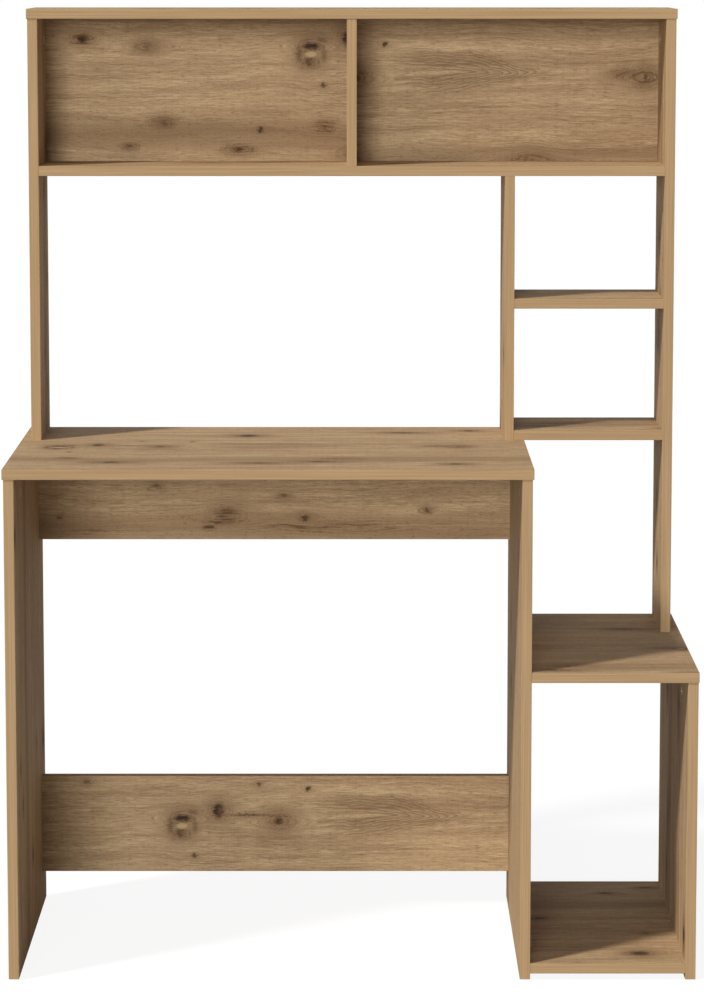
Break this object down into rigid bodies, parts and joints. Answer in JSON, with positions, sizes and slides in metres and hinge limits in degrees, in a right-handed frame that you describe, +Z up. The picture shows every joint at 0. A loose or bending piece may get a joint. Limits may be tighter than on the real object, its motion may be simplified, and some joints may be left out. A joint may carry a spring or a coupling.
{
  "type": "computer desk",
  "caption": "Computer desk of oak-look boards with a knee space, a low tower bay on its right and a shallow hutch of open compartments and shelves.",
  "frame": {"origin": "centre of the desk's footprint, on the floor", "axes": "+X to the sitter's right, towards the tower; +Y to the back; +Z up"},
  "size_m": [1, 0.45, 1.4],
  "materials": {
    "oak_laminate": "matt oak-print laminate with fine pores",
    "edge_band": "oak-print plastic band",
    "beech": "plain turned beech",
    "cast_zinc": "dull cast zinc",
    "zinc_plated_steel": "bright zinc plate",
    "glide_plastic": "moulded brown plastic"
  },
  "bodies": {
    "root": {"apron_rail": "oak_laminate", "apron_rail_edge_band": "edge_band", "column_lower_shelf": "oak_laminate", "column_lower_shelf_edge_band": "edge_band", "column_upper_shelf": "oak_laminate", "column_upper_shelf_edge_band": "edge_band", "desk_cam_bolts": "zinc_plated_steel", "desk_cam_locks": "cast_zinc", "desk_dowels": "beech", "desktop": "oak_laminate", "desktop_edge_band": "edge_band", "floor_glides": "glide_plastic", "hutch_cam_bolts": "zinc_plated_steel", "hutch_cam_locks": "cast_zinc", "hutch_centre_divider": "oak_laminate", "hutch_centre_divider_edge_band": "edge_band", "hutch_column_divider": "oak_laminate", "hutch_column_divider_edge_band": "edge_band", "hutch_dowels": "beech", "hutch_left_upright": "oak_laminate", "hutch_left_upright_edge_band": "edge_band", "hutch_right_upright": "oak_laminate", "hutch_right_upright_edge_band": "edge_band", "hutch_screws": "zinc_plated_steel", "hutch_shelf": "oak_laminate", "hutch_shelf_edge_band": "edge_band", "hutch_top": "oak_laminate", "hutch_top_edge_band": "edge_band", "left_back_board": "oak_laminate", "left_side_panel": "oak_laminate", "left_side_panel_edge_band": "edge_band", "lower_rail": "oak_laminate", "lower_rail_edge_band": "edge_band", "middle_panel": "oak_laminate", "middle_panel_edge_band": "edge_band", "rail_cam_bolts": "zinc_plated_steel", "rail_cam_locks": "cast_zinc", "rail_dowels": "beech", "right_back_board": "oak_laminate", "tower_floor_shelf": "oak_laminate", "tower_floor_shelf_edge_band": "edge_band", "tower_side_panel": "oak_laminate", "tower_side_panel_edge_band": "edge_band", "tower_top": "oak_laminate", "tower_top_edge_band": "edge_band"}
  },
  "joints": []
}
